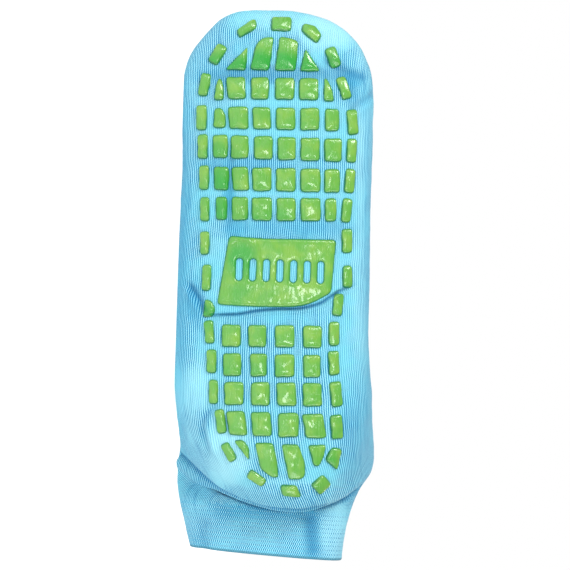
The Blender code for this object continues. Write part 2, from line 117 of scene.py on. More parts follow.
SLOT_COUNT = 7
SLOT_LENGTH = 11.0
SLOT_WIDTH = 3.2
SLOT_PITCH = 6.8

# Fineness of the sock's mesh
RINGS = 330
AROUND = 262
INNER_RINGS = 40
FINE_ANGLES = 720
FINE_PLACES = 1200
FOLD_STEPS = 8  # points on a fold's line for each one given
SOLE_CROWDING = 0.2
RING_CROWDING = ((104.0, 11.0, 1.0), (3.0, 8.0, 0.6))  # along, reach and how much closer
HEM_ROLL_STEPS = 4

# Sections, as in the CAD: each is a line from the sole, heel or back of the leg (base) to the
# instep or front of the leg (top), with a round outline. What a row leaves out is 0
COLUMNS = "top_along top_rise base_along base_rise low high belly square dome taper skew slant"
Section = namedtuple("Section", COLUMNS, defaults=(0, 0, 0))

# Toe to instep: along as shares of FOOT_LENGTH, rises of INSTEP_HEIGHT, widths of BALL_WIDTH
FOOT_SECTIONS = [
    (1, 0.217, 1, 0.217, 0.462, 0.462, 0.5, 2.2, 2.1),
    (0.997, 0.29, 0.997, 0.153, 0.328, 0.623, 0.5, 2.2, 2.1),
    (0.983, 0.35, 0.983, 0.103, 0.231, 0.756, 0.48, 2.4, 2.1),
    (0.962, 0.393, 0.962, 0.067, 0.172, 0.852, 0.45, 2.6, 2.2),
    (0.935, 0.43, 0.935, 0.042, 0.11, 0.923, 0.42, 2.8, 2.2),
    (0.907, 0.46, 0.907, 0.025, 0.062, 0.968, 0.4, 3, 2.2),
    (0.873, 0.49, 0.873, 0.013, 0.034, 1, 0.38, 3.2, 2.2),
    (0.833, 0.52, 0.833, 0.005, 0.02, 1.009, 0.38, 3.2, 2.2),
    (0.766, 0.575, 0.766, 0, 0.021, 1.009, 0.38, 3.2, 2.2),
    (0.686, 0.642, 0.686, 0.003, 0.024, 1.005, 0.38, 3.2, 2.2),
    (0.598, 0.717, 0.598, 0.017, 0.013, 0.996, 0.38, 3.2, 2.2),
    (0.51, 0.788, 0.51, 0.03, -0.002, 0.994, 0.38, 3.2, 2.2),
    (0.427, 0.853, 0.427, 0.03, -0.012, 0.993, 0.38, 3.2, 2.2),
    (0.367, 0.907, 0.343, 0.02, -0.018, 0.989, 0.38, 3.2, 2.2),
    (0.323, 0.943, 0.263, 0.007, -0.023, 0.998, 0.39, 3.1, 2.2),
]

# Round the heel pocket: as above, but base_rise as a share of HEEL_HEIGHT
HEEL_SECTIONS = [
    (0.287, 0.967, 0.187, 0, -0.017, 1.006, 0.42, 2.9, 2.2),
    (0.255, 0.98, 0.123, 0.007, -0.01, 1.011, 0.45, 2.6, 2.2, 0.08, 0.01),
    (0.229, 0.988, 0.072, 0.047, -0.002, 1.017, 0.5, 2.3, 2.2, 0.16, 0.03),
    (0.207, 0.993, 0.035, 0.14, 0.002, 1.022, 0.55, 2.1, 2.2, 0.22, 0.05),
    (0.187, 0.997, 0.009, 0.287, -0.002, 1.023, 0.58, 2, 2.3, 0.26, 0.075),
    (0.167, 1, -0.004, 0.453, -0.009, 1.022, 0.58, 2, 2.3, 0.28, 0.09),
    (0.15, 1, -0.005, 0.62, -0.013, 1.019, 0.58, 2, 2.3, 0.28, 0.09),
    (0.132, 1, 0.003, 0.767, -0.015, 1.013, 0.56, 2, 2.4, 0.26, 0.085),
    (0.104, 1, 0.018, 0.88, -0.016, 1.001, 0.54, 2, 2.4, 0.18, 0.06),
    (0.072, 1, 0.017, 0.94, -0.016, 0.972, 0.52, 2.2, 2.5, 0.08, 0.02),
]

# Leg and cuff: along as shares of LEG_REACH past the heel tip, base_rise of HEEL_HEIGHT,
# top_rise as a share of LEG_DEPTH above HEEL_HEIGHT
LEG_SECTIONS = [
    (-0.35, 1, 0, 0.967, -0.006, 0.925, 0.5, 2.4, 2.5, 0, 0, 0.2),
    (0.2, 1, 0.35, 0.983, 0.015, 0.887, 0.5, 2.5, 2.5, 0, 0, 0.5),
    (0.7, 1, 0.74, 1, 0.036, 0.863, 0.5, 2.6, 2.6, 0, 0, 0.8),
    (1, 1, 1, 1, 0.05, 0.855, 0.5, 2.6, 2.6, 0, 0, 1),
]

MIDDLE_ACROSS = 48.75

# Rows of rounded blocks: name, place along, length of the blocks, how far the row falls back
# for each millimetre across, and each block's middle across and width
FOREFOOT_ROWS = [
    ("forefoot_1", 211.7, 11, 0.016, [(29.6, 9.2), (41.4, 8.9), (53.8, 9.5), (65.9, 9.6)]),
    ("forefoot_2", 196.7, 11, 0.02, [(30.7, 9.7), (42.3, 9), (54.3, 9.5), (66.3, 9.5), (77.5, 7)]),
    ("forefoot_3", 181.9, 11.4, 0.033,
        [(21.6, 7.4), (31.3, 8.8), (43.1, 9.4), (54.8, 9.1), (66.5, 9.5), (78, 8.7)]),
    ("forefoot_4", 166.2, 11.6, 0.022,
        [(22.1, 7.4), (31.7, 8.2), (42.4, 9.5), (54.4, 9.8), (66.7, 9.9), (77.5, 7.8)]),
    ("forefoot_5", 151.4, 11.5, 0.015,
        [(22.2, 5.6), (31.4, 8), (42.4, 9.9), (54.5, 9.5), (66.8, 10), (76.8, 5.6)]),
]

HEEL_ROWS = [
    ("heel_1", 87.8, 11, 0.012, [(27, 9.5), (40.1, 8.9), (53.8, 9.7), (67.6, 9.3)]),
    ("heel_2", 73.2, 11.2, 0.02, [(27.5, 9), (40.8, 8.3), (53.8, 9.8), (67.4, 8.6)]),
    ("heel_3", 58.9, 11.5, 0.016, [(28.4, 9.7), (41.6, 9.2), (54.7, 9.5), (67.6, 9.4)]),
    ("heel_4", 43.7, 12, 0.04, [(29.8, 9.2), (42.2, 9.6), (55.7, 10.2), (68.6, 10.4)]),
]

# How far the soft blocks' heel edges lean to the high side, in millimetres
LEANS = {
    "pad_heel_4_4": 2, "pad_heel_4_1": 1.7, "pad_heel_4_2": 0.9, "pad_heel_3_3": 0.6,
    "pad_forefoot_1_1": 0.8, "pad_forefoot_2_1": 0.7, "pad_forefoot_2_2": 0.5, "pad_forefoot_4_2": 0.9,
}

# Blocks cut to the round of the toe and heel, by their corners (along, across)
TOE_BLOCKS = {
    "toe_low_wedge": [(232.8, 35.3), (221.3, 24), (221, 34.3)],
    "toe_low_quarter":
        [(237.8, 48.4), (237.5, 43.9), (235.2, 40.4), (231.3, 38.8), (221.2, 36.5), (220.9, 46)],
    "toe_high_quarter": [(237.9, 51.4), (237.1, 56.8), (235.2, 60.6), (220.7, 59.3), (220.8, 48.9)],
    "toe_high_wedge": [(231.8, 64.3), (220.5, 71.5), (220.5, 61.3)],
    "forefoot_1_low_wedge":
        [(217, 20.8), (216.4, 22.3), (212.5, 23.3), (206, 23.3), (206, 18.4), (212, 19.2)],
    "forefoot_1_high_wedge": [(217, 73.6), (216.2, 75.3), (211.5, 77.4), (205.2, 78.7), (205.4, 73.3)],
    "forefoot_2_low_wedge": [(202, 18.8), (202, 22.3), (198, 24.2), (192.2, 24.4), (192.2, 17.9)],
}

HEEL_BLOCKS = {
    "heel_5_low_wedge": [(35.7, 28.3), (35.9, 33.2), (32, 36), (25.6, 36.2)],
    "heel_5_low_long": [(34.6, 38.9), (34.4, 48), (26, 49.8), (17, 50.8), (17.2, 47.2), (21.5, 41.8)],
    "heel_5_high_long":
        [(33.8, 52.2), (33.7, 60.5), (24.5, 63.8), (18, 63.9), (16.3, 61.5), (16.3, 55.9)],
    "heel_5_high_wedge": [(33.3, 65.6), (33.2, 74.4), (29, 73.6), (22.8, 71), (22.8, 68.2)],
}

# Border pads that aren't rectangles, by their corners
BORDER_BLOCKS = {
    "toe_low": [(240.9, 29.6), (246.4, 37.2), (246.6, 39.3), (242.3, 39.5), (237, 31.2)],
    "toe_high": [(244.8, 63.5), (243.4, 69), (238.6, 72.6), (234.2, 69.8), (240.9, 62)],
    "heel_high": [(32.1, 77.5), (31, 82.6), (20.2, 80), (26, 73.8)],
    "heel_middle": [(13.6, 51.7), (12.9, 59.9), (7.1, 62.3), (7.8, 52.4)],
    "arch_low": [(106.4, 14), (105.4, 17.4), (101, 19), (97.6, 17.8), (97.2, 12.9), (102, 13.4)],
}

# The other pads near the edge: middle (along, across), length, width and lean in degrees to
# the high side
BORDER_PADS = [
    (244.3, 52.2, 10, 7.2, 90), (229, 20.2, 10.5, 5.5, 30), (227.5, 78, 10, 5.5, -20),
    (213.8, 13.7, 11.5, 5, 10), (212, 83.4, 11.5, 5, -18), (197.3, 12.2, 12.5, 5.2, 0),
    (195, 87.7, 12.5, 5.4, -5), (182.8, 12.8, 12, 5, 0), (180.8, 87.3, 12, 5, 3),
    (167.3, 13.5, 12.2, 4.8, 0), (165.6, 86.4, 11.9, 5, 5), (151.5, 13.8, 12, 4.5, 0),
    (150.8, 84.8, 11.8, 5, 6), (134.5, 13.8, 11.5, 4.5, 0), (135.6, 85, 11.7, 5.2, 0),
    (117.1, 14.7, 13, 4.5, 2), (117.6, 85.2, 11, 4.8, 0), (103.5, 80.5, 11, 5, 6),
    (90, 16, 11.2, 4.8, -4), (89, 78.5, 11.8, 5.2, 0), (75.3, 17.2, 11.5, 5, 0),
    (74.4, 78.4, 12, 5.4, -3), (60, 18.2, 12, 4.5, 0), (58.8, 79.5, 12.5, 5.8, -6),
    (45.3, 21.8, 12, 4.8, -8), (42.3, 79.8, 12.2, 6, -4), (29.8, 25.9, 10, 4.3, -28),
    (16.7, 39.7, 9.5, 4.6, -56), (13.2, 72, 8, 7, 50),
]

# The centre panel's toe edge and heel edge, from the low side to the high side
PANEL_TOE_EDGE = [(138.3, 26), (136.8, 44), (136.5, 62), (136.2, 79.8)]
PANEL_HEEL_EDGE = [(103.7, 19.8), (102.6, 39), (103, 62.5), (109.6, 77.2)]

# Folds: the width and depth of a soft trough, the height of a ridge beside it, which is on the
# heel side of a line drawn from the low side to the high side, and the line (along, across)
SOLE_FOLDS = [
    (4.2, 1, 0.4, [(218, 8), (218.5, 30), (218.5, 50), (219, 76), (217, 96)]),
    (2.2, 1.5, 0.7, [(228, 72.5), (223, 79), (219.5, 88), (217, 97)]),
    (1.7, 0.8, 0.2, [(187, 27.6), (170, 26.8), (150, 26), (138, 25.4)]),
    (0.75, 2.4, 1.1,
        [(97.5, 11), (98.4, 20), (98.9, 31), (100.4, 39.5), (101.4, 50), (101.7, 61.5), (104, 71),
         (107.6, 77), (110.8, 82.5), (114.5, 91)]),
    (1.6, 1.7, 1, [(115, 5), (108.5, 9.5), (103, 12.6), (97.5, 14.5)]),
    (1.1, 2, 0,
        [(28, 118), (14, 101.5), (7, 89.5), (3.2, 83.5), (0.3, 72), (-0.8, 59), (0.2, 45),
         (2.8, 34.5), (8.2, 22), (13.5, 14.5), (21.5, 5.5), (27.5, -1.5), (42, -18)]),
    (2, 0, 1.2, [(40, -18), (27.5, -1.5), (21.5, 5.5), (13.5, 14.5), (8, 22)]),
    (1.1, -0.8, 0, [(132.5, 24.5), (136.6, 29.5), (136, 35.5), (131.2, 39.6), (123, 41)]),
    (1.8, 1, 0.5, [(200, 86), (204, 90.5), (207, 95), (212, 101)]),
    (1.3, 1.1, 0.9, [(26, 16.5), (33.5, 14.6), (39.5, 13.2), (44.2, 12.6), (48.4, 14.6), (54.5, 21.5)]),
    (3.4, 1.5, 0.6, [(-2, 66.5), (-12, 67.5), (-26, 69)]),
    (3, 0.8, 0.4, [(-5, 14), (-14, 12), (-24, 13)]),
]

TOP_FOLDS = [
    (4, 1.6, 1, [(84, 18), (78, 40), (80, 62), (90, 84)]),
    (3.4, 1.3, 0.8, [(66, 14), (60, 34), (58, 56), (63, 80)]),
    (3, 1, 0.6, [(44, 30), (38, 50), (41, 74)]),
    (4.4, 1.2, 0.5, [(128, 34), (118, 52), (122, 80)]),
    (3.6, 0.9, 0.4, [(168, 20), (160, 40), (158, 64)]),
    (0.9, -0.9, 0, [(221, 9), (224, 28), (225, 48), (223, 70), (219, 92)]),
]

# Soft spots: middle (along, across), half length, half width and strength. Here the knit's
# columns stand out as stripes
STRIPED_SPOTS = [
    (230, 17, 20, 13, 1), (218, 89, 12, 10, 1), (236, 46, 6, 26, 0.8), (219, 48, 4, 30, 0.7),
    (174, 45, 4, 34, 0.9), (142, 55, 6, 32, 0.9), (97, 58, 6, 30, 0.35), (103, 9, 11, 5, 1),
    (60, 48, 40, 28, 0.55), (34, 92, 34, 10, 0.9), (5, 52, 7, 44, 1.4), (28, 10, 26, 9, 0.9),
    (-4, 8, 16, 8, 0.7), (150, 96, 60, 6, 0.5), (150, 5, 75, 6, 0.75),
]

# Painted shade: where the knit turns a deeper blue, as under the heel rim, between pads and along its
# edges
PAINTED_SHADE_SPOTS = [
    (150, 1, 95, 4, 0.6), (216, 88, 4, 6, 0.8), (206, 94, 10, 3, 0.5), (150, 95.5, 60, 1.8, 0.4),
    (-3, 42, 3, 32, 0.35), (8, 10, 6, 6, 0.4), (104, 8, 9, 4, 0.7), (-12, 67.5, 15, 3.5, 0.45),
    (218, 30, 3, 26, 0.25), (174, 32, 3, 20, 0.5), (142, 29, 5, 5, 0.7), (142, 58, 4, 24, 0.5),
    (157, 26, 7, 3, 0.8), (221, 30, 3, 6, 0.5), (210, 88, 5, 4, 0.5), (42, 97, 34, 4, 0.3),
    (36, 89, 22, 7, 0.35), (98, 46, 4, 24, 0.2),
]

# Where the knit lies pale and smooth, and where painted light brightens it, as on the leg and along the
# high edge
PALE_AND_PAINTED_LIGHT_SPOTS = [
    (30, 24, 17, 11, 1), (60, 8, 13, 9, 0.7), (12, 50, 4, 26, 0.3), (-12, 79, 18, 7, 1),
    (241, 74, 9, 16, 1), (246, 48, 5, 20, 0.5), (206, 8, 24, 5, 0.3), (205, 93, 60, 4, 0.6),
    (-15, 40, 9, 44, 0.4), (-6, 10, 10, 9, 0.7), (44, 9, 12, 5, 0.6), (120, 92, 40, 4, 0.4),
    (60, 101, 40, 3, 0.5),
]

# Painted shade: where the pads show a deeper green, as on the toe row's lower halves
GREEN_SHADE_SPOTS = [
    (224, 47, 6, 32, 1), (166, 22, 8, 5, 0.9), (151, 22, 8, 4, 0.9), (180, 20, 5, 5, 0.5),
    (126, 32, 8, 7, 0.9), (108, 28, 5, 10, 0.4), (225, 20, 5, 6, 0.7), (224, 79, 5, 5, 0.7),
    (98, 17, 5, 5, 0.7), (72, 38, 5, 14, 0.35), (28, 76, 7, 4, 0.6), (148, 43, 4, 14, 0.4),
]


def sections_in_mm(rows, along_size, base_size, top_size, top_from=0.0):
    """The rows with their shares turned into millimetres of the sizes given."""
    rows = np.array([Section(*row) for row in rows])
    rows[:, :6] *= (along_size, top_size, along_size, base_size, BALL_WIDTH, BALL_WIDTH)
    rows[:, 1] += top_from
    return rows


def all_sections():
    """Every section from the toe to the hem, in millimetres, as an array of rows."""
    return np.concatenate([
        sections_in_mm(FOOT_SECTIONS, FOOT_LENGTH, INSTEP_HEIGHT, INSTEP_HEIGHT),
        sections_in_mm(HEEL_SECTIONS, FOOT_LENGTH, HEEL_HEIGHT, INSTEP_HEIGHT),
        sections_in_mm(LEG_SECTIONS, -LEG_REACH, HEEL_HEIGHT, LEG_DEPTH, HEEL_HEIGHT),
    ])


def smooth_points(points, places):
    """The points at places between an array's rows, on a smooth curve through all of them."""
    index = np.minimum(places.astype(int), len(points) - 2)
    t = (places - index)[:, None]
    before, start, end, after = (
        points[np.clip(index + step, 0, len(points) - 1)] for step in (-1, 0, 1, 2)
    )
    return (
        2 * start
        + (end - before) * t
        + (2 * before - 5 * start + 4 * end - after) * t**2
        + (3 * start - before - 3 * end + after) * t**3
    ) / 2


def plan_rings(places, angles):
    """Plan points (along, across, rise) of the rings at these places, one for each angle."""
    rows = smooth_points(all_sections(), places)
    section = Section(*rows.T[:, :, None])
    side, height = np.cos(angles)[None], np.sin(angles)[None]
    upper = height > 0
    fullness = np.where(upper, section.dome, section.square)
    outward = np.sign(side) * np.abs(side) ** (2 / fullness)
    reach = np.abs(height) ** (2 / fullness)
    half_width = (section.high - section.low) / 2
    middle = (section.low + section.high) / 2
    middle = middle + np.where(upper, 0, section.skew * reach * 2 * half_width)
    outward = outward * np.where(upper, 1, 1 - section.taper * reach)
    share = np.where(upper, section.belly + (1 - section.belly) * reach, section.belly * (1 - reach))
    along = section.base_along + (section.top_along - section.base_along) * share
    along = along - section.slant * HEM_SLANT * outward / 2
    rise = section.base_rise + (section.top_rise - section.base_rise) * share
    return np.stack([along, middle + half_width * outward, rise], axis=2)


def to_scene(plan):
    """Plan points in the scene, in metres, with the low side turned down onto the floor."""
    turn = math.atan(FLOOR_SLOPE)
    along, across, rise = plan[..., 0], plan[..., 1], plan[..., 2]
    x = -along * math.cos(turn) - across * math.sin(turn)
    z = across * math.cos(turn) - along * math.sin(turn)
    return np.stack([x, rise, z + FLOOR_DROP - SETTLE], axis=-1) * MM + SHIFT


def frame_shift():
    """Where the plan's origin lies in the frame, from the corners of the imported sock."""
    low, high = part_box("knitted_sock")
    toe = Section(*all_sections()[0])
    turn = math.atan(FLOOR_SLOPE)
    toe_x = -toe.top_along * math.cos(turn) - toe.low * math.sin(turn)
    return np.array([low[0] - toe_x * MM, high[1] - INSTEP_HEIGHT * MM, 0.0])


SHIFT = frame_shift()


def even_places(count):
    """Places of rings from just past the toe's tip to the hem, closer at the creases."""
    fine = np.linspace(0, len(all_sections()) - 1, FINE_PLACES)
    lines = plan_rings(fine, np.array([-math.pi / 2, 0, math.pi / 2, math.pi]))
    steps = norm(np.diff(lines, axis=0), axis=2).mean(axis=1)
    sole = lines[1:, 0, 0]
    for along, reach, share in RING_CROWDING:
        steps *= 1 + share * np.exp(-(((sole - along) / reach) ** 2))
    way = np.concatenate([[0], np.cumsum(steps)])
    return np.interp(np.linspace(0, way[-1], count + 1)[1:], way, fine)


def even_rings(places):
    """Rings of plan points spaced by length, from the instep round the sole and back.

    Returns the rings, each point's way round from the sole's middle and each ring's length.
    """
    angles = np.linspace(-1.5 * math.pi, math.pi / 2, FINE_ANGLES + 1)
    fine = plan_rings(places, angles)
    steps = norm(np.diff(fine, axis=1), axis=2)
    way = np.concatenate([np.zeros((len(places), 1)), np.cumsum(steps, axis=1)], axis=1)
    share = np.linspace(0, 1, AROUND + 1)
    share = share + SOLE_CROWDING * np.sin(2 * math.pi * share) / (2 * math.pi)
    rings, ways = [], []
    for points, line in zip(fine, way):
        wanted = share * line[-1]
        rings.append(np.stack([np.interp(wanted, line, points[:, axis]) for axis in range(3)], axis=1))
        ways.append(wanted - np.interp(-math.pi / 2, angles, line))
    return np.array(rings), np.array(ways), way[:, -1]


def ring_normals(points):
    """Outward unit normals of a closed grid of rings, whose last column repeats the first."""
    rings = points[:, :-1]
    around = np.roll(rings, -1, axis=1) - np.roll(rings, 1, axis=1)
    onward = np.gradient(rings, axis=0)
    normals = np.cross(around, onward)
    normals /= np.maximum(norm(normals, axis=2, keepdims=True), 1e-12)
    centres = rings.mean(axis=1, keepdims=True)
    middle = len(rings) // 3
    outward = np.sum(normals[middle] * (rings - centres)[middle])
    normals *= math.copysign(1, outward)
    return np.concatenate([normals, normals[:, :1]], axis=1)


def from_line(points, line):
    """Each point's signed distance from a line on the plan, and how far on it is as a share."""
    line = smooth_points(np.array(line), np.linspace(0, len(line) - 1, FOLD_STEPS * len(line)))
    lengths = norm(np.diff(line, axis=0), axis=1)
    distance = np.full(len(points), np.inf)
    side, way = np.zeros(len(points)), np.zeros(len(points))
    passed = 0.0
    for start, end, length in zip(line, line[1:], lengths):
        ahead = (end - start) / length
        offset = points - start
        t = np.clip(offset @ ahead, 0, length)
        gap = offset - t[:, None] * ahead
        far = norm(gap, axis=1)
        nearer = far < distance
        distance = np.where(nearer, far, distance)
        side = np.where(nearer, np.sign(ahead[0] * gap[:, 1] - ahead[1] * gap[:, 0]), side)
        way = np.where(nearer, (passed + t) / lengths.sum(), way)
        passed += length
    return distance * side, way


def spotted(plan, spots):
    """How strongly each plan point lies in the soft spots, from 0 to 1."""
    amount = np.zeros(plan.shape[:-1])
    for along, across, long, wide, strength in spots:
        off = ((plan[..., 0] - along) / long) ** 2 + ((plan[..., 1] - across) / wide) ** 2
        amount = np.maximum(amount, strength * np.exp(-(off**2) / 2))
    return amount


def ease(share):
    """A share held between 0 and 1 and eased at both ends."""
    share = np.clip(share, 0, 1)
    return share * share * (3 - 2 * share)


def on_face(toward):
    """How far a point counts as on a face, by how far its normal turns to it."""
    return ease((toward + 0.1) / 0.5)


def fold_relief(plan, facing):
    """How far the folds lift each plan point, and how much painted shade darkens it in a fold's trough,
    as a share.

    facing is how far each point's normal turns to the sole's side.
    """
    points = plan[..., :2].reshape(-1, 2)
    relief, crease_shade = np.zeros(len(points)), np.zeros(len(points))
    for folds, toward in ((SOLE_FOLDS, facing), (TOP_FOLDS, -facing)):
        shown = on_face(toward.reshape(-1))
        for width, trough, ridge, line in folds:
            distance, way = from_line(points, line)
            fade = ease(np.minimum(way, 1 - way) / FOLD_FADE + FOLD_START) * shown
            hollow = np.exp(-((distance / width) ** 2))
            relief += (ridge * np.exp(-((distance / width - 2) ** 2)) - trough * hollow) * fade
            # Painted shade, strongest along the trough's line
            crease_shade = np.maximum(crease_shade, np.clip(trough / CREASE_SHADE_FULL, 0, 1) * hollow * fade)
    return relief.reshape(plan.shape[:2]), crease_shade.reshape(plan.shape[:2])


def soft_waves(points, scale, seed):
    """Smooth noise between -1 and 1 at each scene point, its lumps about scale metres wide."""
    flat = points.reshape(-1, 3) / scale + seed
    values = [noise.noise(Vector(point)) for point in flat]
    return np.array(values).reshape(points.shape[:2])


def press_relief(plan, facing, pads):
    """How far the printed pads pull the knit in along their rims, in millimetres."""
    points = plan[..., :2].reshape(-1, 2)
    relief = np.zeros(len(points))
    reach = 3 * PRESS_WIDTH
    for outline in pads:
        low, high = outline.min(axis=0) - reach, outline.max(axis=0) + reach
        near = np.all((points > low) & (points < high), axis=1)
        depth = outline_depth(points[near], outline)
        relief[near] -= PRESS_DEPTH * np.exp(-((depth / PRESS_WIDTH) ** 2))
    return relief.reshape(plan.shape[:2]) * on_face(facing)


def sock_grid(pads):
    """The sock's outside, its knit coordinates (wales, millimetres) and values for its looks."""
    places = even_places(RINGS)
    plan, way, length = even_rings(places)
    base = to_scene(plan)
    normals = ring_normals(base)
    facing = -normals[..., 1]
    relief, crease_shade = fold_relief(plan, facing)
    relief += press_relief(plan, facing, pads)
    for high, size, closer, seed in SLACK_WAVES:
        relief += high * soft_waves(base * (1, 1, closer), size * MM, seed)
    relief[:, -1] = relief[:, 0]
    points = base + normals * relief[..., None] * MM
    points[..., 2] = np.maximum(points[..., 2], 0)
    full = np.max(length)
    count = WALE_COUNT * np.minimum(1, length / (FINEST_WALE * full))
    count[RINGS // 2:] = WALE_COUNT
    wales = way / length[:, None] * count[:, None]
    steps = norm(np.diff(base, axis=0), axis=2) / MM
    courses = np.concatenate([np.cumsum(steps[::-1], axis=0)[::-1], np.zeros((1, AROUND + 1))])
    on_sole = ease((facing + 0.2) / 0.4)
    looks = {
        "striped": spotted(plan, STRIPED_SPOTS) * on_sole + TOP_STRIPES * (1 - on_sole),
        # Partly painted light, from the pale spots
        "pale": spotted(plan, PALE_AND_PAINTED_LIGHT_SPOTS) * on_sole,
        # Painted shade, from the spots of shade
        "painted_shade": spotted(plan, PAINTED_SHADE_SPOTS) * on_sole,
        "crease_shade": crease_shade,
    }
    return points, np.stack([wales, courses], axis=2), looks


def inside_grid():
    """The sock's inside, one wall in at the hem, deeper under the folds, and clear of the floor."""
    places = even_places(INNER_RINGS)
    plan, _, _ = even_rings(places)
    base = to_scene(plan)
    normals = ring_normals(base)
    relief, _ = fold_relief(plan, -normals[..., 1])
    # The share is full away from the hem and falls away over the last three rings
    away = ease(np.linspace(INNER_RINGS / 3, 0, INNER_RINGS))[:, None]
    depth = WALL + FOLD_ROOM * away - relief * (1 - away)
    points = base - normals * depth[..., None] * MM
    points[..., 2] = np.maximum(points[..., 2], WALL * MM)
    return points


def hem_roll(outer, inner):
    """Rings that round the hem over from the outside to the inside."""
    middle, half = (outer + inner) / 2, (outer - inner) / 2
    onward = np.array([1.0, 0, 0]) * WALL * MM / 2
    turns = np.linspace(0, math.pi, HEM_ROLL_STEPS + 2)[1:-1]
    return np.array([middle + half * math.cos(turn) + onward * math.sin(turn) for turn in turns])


def add_mesh(name, points, faces, finish):
    """A smooth mesh object with one material, in the scene's collection."""
    mesh = bpy.data.meshes.new(name)
    mesh.from_pydata([tuple(point) for point in points], [], faces)
    mesh.validate()
    mesh.shade_smooth()
    mesh.materials.append(finish)
    made = bpy.data.objects.new(name, mesh)
    bpy.context.scene.collection.objects.link(made)
    return made


def add_sock(pads, finish):
    """The knitted tube: outside, rounded hem and inside, with its knit coordinates as UVs."""
    outer, knit, looks = sock_grid(pads)
    inner = inside_grid()[::-1]
    roll = hem_roll(outer[-1], inner[0])
    rings = np.concatenate([outer, roll, inner])
    tail = np.repeat(knit[-1:], len(roll) + len(inner), axis=0)
    tail[..., 1] -= np.arange(1, len(tail) + 1)[:, None]
    knit = np.concatenate([knit, tail])
    count, columns = rings.shape[0], AROUND
    points = rings[:, :-1].reshape(-1, 3)
    tips = [outer[0, :-1].mean(axis=0), inner[-1, :-1].mean(axis=0)]
    points = np.concatenate([points, tips])
    faces, corners = [], []
    for ring in range(count - 1):
        near, far = ring * columns, (ring + 1) * columns
        for column in range(columns):
            after = (column + 1) % columns
            faces.append((near + column, far + column, far + after, near + after))
            corners += [(ring, column), (ring + 1, column), (ring + 1, column + 1), (ring, column + 1)]
    for ring, tip in ((0, len(points) - 2), (count - 1, len(points) - 1)):
        for column in range(columns):
            ends = (column, column + 1) if ring == 0 else (column + 1, column)
            faces.append((tip, *(ring * columns + end % columns for end in ends)))
            corners += [(ring, end) for end in (ends[0], *ends)]
    made = add_mesh("knitted_tube", points, faces, finish)
    corners = np.array(corners)
    layer = made.data.uv_layers.new(name="knit")
    layer.data.foreach_set("uv", knit[corners[:, 0], corners[:, 1]].astype(np.float32).ravel())
    for name, values in looks.items():
        kept = np.zeros(len(points))
        kept[:outer.shape[0] * columns] = values[:, :-1].ravel()
        keep_values(made, name, kept)
    outward(made)
    return made


def outward(made):
    """Turns the faces of a closed mesh outward."""
    bpy.context.view_layer.objects.active = made
    made.select_set(True)
    bpy.ops.object.mode_set(mode="EDIT")
    bpy.ops.mesh.select_all(action="SELECT")
    bpy.ops.mesh.normals_make_consistent(inside=False)
    bpy.ops.object.mode_set(mode="OBJECT")
    made.select_set(False)


def block_corners(along, across, long, wide, lean=0.0):
    """Corners of a rectangle on the plan, its long side leaning to the high side by degrees."""
    turn = math.radians(lean)
    ahead = (math.cos(turn), math.sin(turn))
    aside = (-math.sin(turn), math.cos(turn))
    return [
        (along + a * long / 2 * ahead[0] + b * wide / 2 * aside[0],
         across + a * long / 2 * ahead[1] + b * wide / 2 * aside[1])
        for a, b in ((1, -1), (1, 1), (-1, 1), (-1, -1))
    ]


def named_pads(rows, shaped):
    """The node name and corners of each block in these rows, and of the shaped blocks."""
    for row_name, row_along, long, fall, blocks in rows:
        for number, (across, wide) in enumerate(blocks, 1):
            along = row_along - fall * (across - MIDDLE_ACROSS)
            name = f"pad_{row_name}_{number}"
            corners = block_corners(along, across, long, wide)
            lean = LEANS.get(name, 0) / 2
            yield name, [(a, b + (lean if a < along else -lean)) for a, b in corners]
    for name, corners in shaped.items():
        yield f"pad_{name}", corners


def corner_arc(before, corner, after, radius, most, count):
    """Points that round a corner, from so far along each side, or most of it if that is less."""
    ends = []
    for other in (before, after):
        step = other - corner
        ends.append(corner + step * min(radius / norm(step), most))
    shares = np.linspace(0, 1, count)
    return [(1 - t) ** 2 * ends[0] + 2 * t * (1 - t) * corner + t**2 * ends[1] for t in shares]


def rounded(corners, radius):
    """A closed outline on the plan with round corners and points every PAD_EDGE_STEP or less."""
    corners = np.array(corners, dtype=float)
    outline = []
    for number, corner in enumerate(corners):
        after = corners[(number + 1) % len(corners)]
        outline += corner_arc(corners[number - 1], corner, after, radius, 0.45, 7)
    outline = np.array(outline)
    filled = []
    for start, end in zip(outline, np.roll(outline, -1, axis=0)):
        steps = max(1, int(np.ceil(norm(end - start) / PAD_EDGE_STEP)))
        filled += [start + (end - start) * step / steps for step in range(steps)]
    return np.array(filled)


def sole_point(sole, along, across):
    """The point and normal of the sole's knit at a place on the plan."""
    x, _, z = to_scene(np.array([along, across, 0.0]))
    place, normal, _, _ = sole.ray_cast(Vector((x, RAY_START, z)), Vector((0, 1, 0)))
    return np.array(place), np.array(normal)


def shoulder(depth):
    """A pad's height as a share, at a depth in millimetres in from its rim."""
    depth = np.clip(depth / PAD_SHOULDER, 0, 1)
    return np.sqrt(1 - (1 - depth) ** 2)


def pad_rings(corners, seed):
    """Rings of plan points from a pad's rim to near its middle, and each ring's depths."""
    outline = rounded(corners, PAD_CORNER)
    middle = outline.mean(axis=0)
    waver = [noise.noise(Vector((*point / PAD_WAVER_SIZE, seed))) for point in outline]
    away = outline - middle
    reach = norm(away, axis=1, keepdims=True)
    away = away * (1 + (PAD_SPREAD + PAD_WAVER * np.array(waver)[:, None]) / reach)
    reach = norm(away, axis=1, keepdims=True)
    narrow = reach.min()
    rings = []
    for depth in PAD_DEPTHS:
        if depth < narrow * DEEPEST_RIM_RING:
            rings.append((middle + away * (1 - depth / reach), np.full(len(away), depth)))
    inner = rings[-1][0] - middle
    deepest = rings[-1][1][0]
    for share in PAD_SHARES:
        rings.append((middle + inner * share, np.full(len(away), deepest + narrow * (1 - share))))
    return middle, reach, rings


